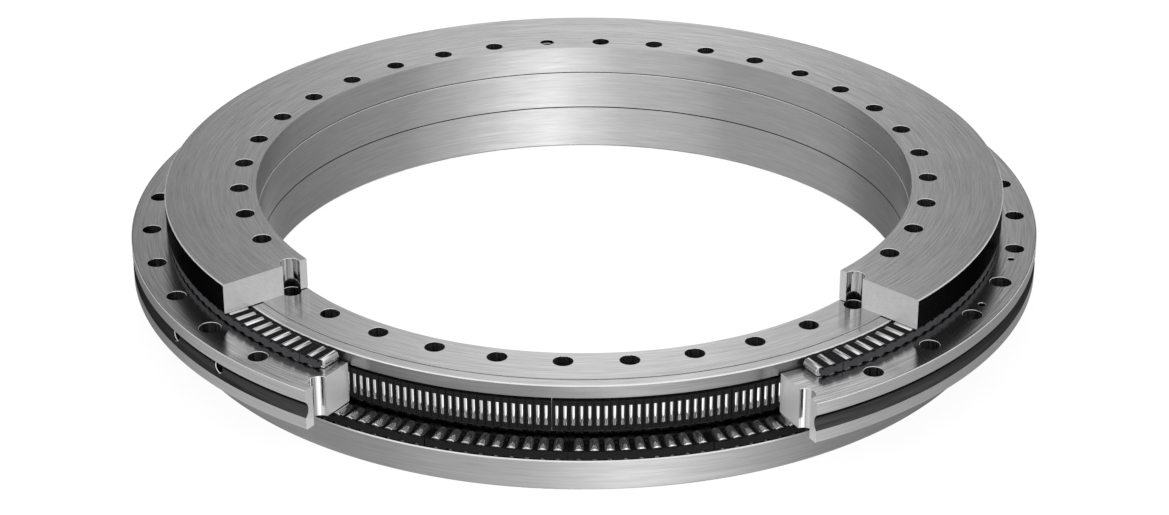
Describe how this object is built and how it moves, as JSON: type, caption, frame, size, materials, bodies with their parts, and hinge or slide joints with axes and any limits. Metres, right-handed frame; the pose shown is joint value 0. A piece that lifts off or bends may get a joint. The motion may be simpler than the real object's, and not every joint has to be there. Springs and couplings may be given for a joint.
{
  "type": "rotary table bearing",
  "caption": "Large axial and radial roller bearing for a rotary table, with cut-out sectors that show its cages and rollers.",
  "frame": {"origin": "centre of the bore in the plane of the bottom face", "axes": "+Z along the axis of rotation, from the flange towards the washer; the cut-out sectors are centred on -Y"},
  "size_m": [0.45, 0.4325, 0.06],
  "materials": {
    "ring_steel": "ground",
    "roller_steel": "polished",
    "cage_plastic": "satin",
    "screw_steel": "bright"
  },
  "bodies": {
    "inner_assembly": {"inner_ring": "ring_steel", "shaft_locating_washer": "ring_steel", "retaining_screw": "screw_steel"},
    "outer_ring": {"outer_ring": "ring_steel"},
    "lower_axial_row": {"lower_axial_cage_01": "cage_plastic", "lower_axial_cage_02": "cage_plastic", "lower_axial_cage_03": "cage_plastic", "lower_axial_cage_04": "cage_plastic", "lower_axial_cage_05": "cage_plastic", "lower_axial_cage_06": "cage_plastic", "lower_axial_cage_07": "cage_plastic", "lower_axial_cage_08": "cage_plastic", "lower_axial_cage_09": "cage_plastic", "lower_axial_cage_10": "cage_plastic", "lower_axial_cage_11": "cage_plastic", "lower_axial_cage_12": "cage_plastic", "lower_axial_cage_13": "cage_plastic", "lower_axial_cage_14": "cage_plastic", "lower_axial_cage_15": "cage_plastic", "lower_axial_cage_16": "cage_plastic", "lower_axial_cage_17": "cage_plastic", "lower_axial_cage_18": "cage_plastic", "lower_axial_cage_19": "cage_plastic", "lower_axial_cage_20": "cage_plastic", "lower_axial_rollers": "roller_steel"},
    "upper_axial_row": {"upper_axial_cage_01": "cage_plastic", "upper_axial_cage_02": "cage_plastic", "upper_axial_cage_03": "cage_plastic", "upper_axial_cage_04": "cage_plastic", "upper_axial_cage_05": "cage_plastic", "upper_axial_cage_06": "cage_plastic", "upper_axial_cage_07": "cage_plastic", "upper_axial_cage_08": "cage_plastic", "upper_axial_cage_09": "cage_plastic", "upper_axial_cage_10": "cage_plastic", "upper_axial_cage_11": "cage_plastic", "upper_axial_cage_12": "cage_plastic", "upper_axial_cage_13": "cage_plastic", "upper_axial_cage_14": "cage_plastic", "upper_axial_cage_15": "cage_plastic", "upper_axial_cage_16": "cage_plastic", "upper_axial_cage_17": "cage_plastic", "upper_axial_cage_18": "cage_plastic", "upper_axial_rollers": "roller_steel"},
    "radial_row": {"radial_cage_01": "cage_plastic", "radial_cage_02": "cage_plastic", "radial_cage_03": "cage_plastic", "radial_cage_04": "cage_plastic", "radial_cage_05": "cage_plastic", "radial_cage_06": "cage_plastic", "radial_cage_07": "cage_plastic", "radial_cage_08": "cage_plastic", "radial_cage_09": "cage_plastic", "radial_cage_10": "cage_plastic", "radial_cage_11": "cage_plastic", "radial_cage_12": "cage_plastic", "radial_cage_13": "cage_plastic", "radial_cage_14": "cage_plastic", "radial_cage_15": "cage_plastic", "radial_rollers": "roller_steel"}
  },
  "joints": [
    {"name": "outer_ring_spin", "type": "hinge", "parent": "inner_assembly", "child": "outer_ring", "pos_m": [0, 0, 0.03], "axis": [0, 0, 1], "continuous": true},
    {"name": "lower_axial_row_spin", "type": "hinge", "parent": "inner_assembly", "child": "lower_axial_row", "pos_m": [0, 0, 0.03], "axis": [0, 0, 1], "continuous": true},
    {"name": "upper_axial_row_spin", "type": "hinge", "parent": "inner_assembly", "child": "upper_axial_row", "pos_m": [0, 0, 0.03], "axis": [0, 0, 1], "continuous": true},
    {"name": "radial_row_spin", "type": "hinge", "parent": "inner_assembly", "child": "radial_row", "pos_m": [0, 0, 0.03], "axis": [0, 0, 1], "continuous": true}
  ],
  "couplings": [
    {"joint": "lower_axial_row_spin", "follows": "outer_ring_spin", "ratio": 0.5},
    {"joint": "upper_axial_row_spin", "follows": "outer_ring_spin", "ratio": 0.5},
    {"joint": "radial_row_spin", "follows": "outer_ring_spin", "ratio": 0.5039}
  ]
}
